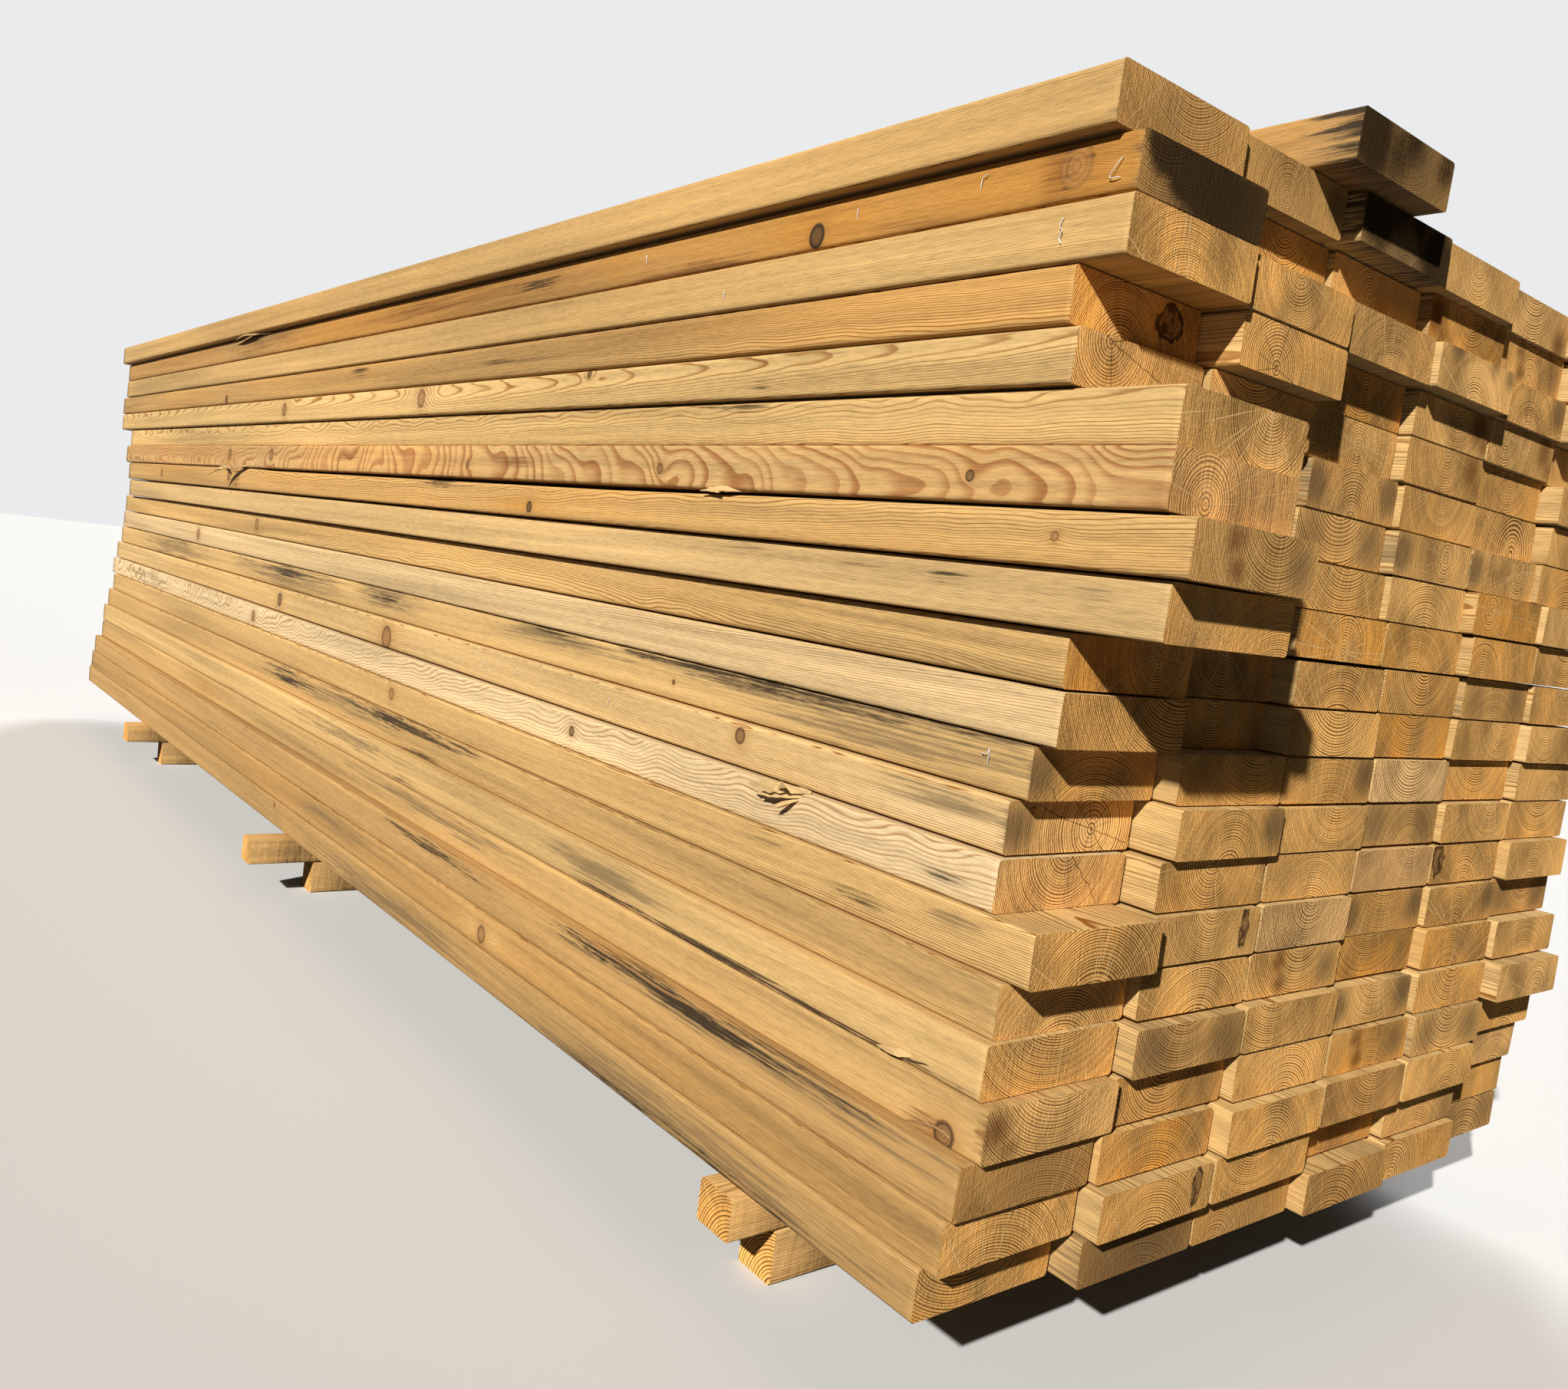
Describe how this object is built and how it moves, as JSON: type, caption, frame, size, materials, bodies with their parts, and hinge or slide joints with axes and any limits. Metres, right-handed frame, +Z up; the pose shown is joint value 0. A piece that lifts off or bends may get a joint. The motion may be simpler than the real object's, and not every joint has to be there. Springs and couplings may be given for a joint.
{
  "type": "stack of lumber",
  "caption": "Stack of flat dressed softwood boards with uneven ends, on paired cross bearers, with one loose board on top.",
  "frame": {"origin": "middle of the bounding box at floor level, under the stack", "axes": "+X along the boards towards the ends that the picture shows, +Z up, and -Y is the long side that the picture shows"},
  "size_m": [3.168, 0.995, 0.965],
  "materials": {
    "board": "dressed softwood, golden tan, weathered in places",
    "bearer": "rough sawn softwood"
  },
  "bodies": {
    "root": {"far_lower_bearer": "bearer", "far_upper_bearer": "bearer", "layer_01": "board", "layer_02": "board", "layer_03": "board", "layer_04": "board", "layer_05": "board", "layer_06": "board", "layer_07": "board", "layer_08": "board", "layer_09": "board", "layer_10": "board", "layer_11": "board", "layer_12": "board", "layer_13": "board", "layer_14": "board", "layer_15": "board", "layer_16": "board", "layer_17": "board", "layer_18": "board", "layer_19": "board", "layer_20": "board", "layer_21": "board", "loose_top_board": "board", "middle_lower_bearer": "bearer", "middle_upper_bearer": "bearer", "near_lower_bearer": "bearer", "near_upper_bearer": "bearer"}
  },
  "joints": []
}
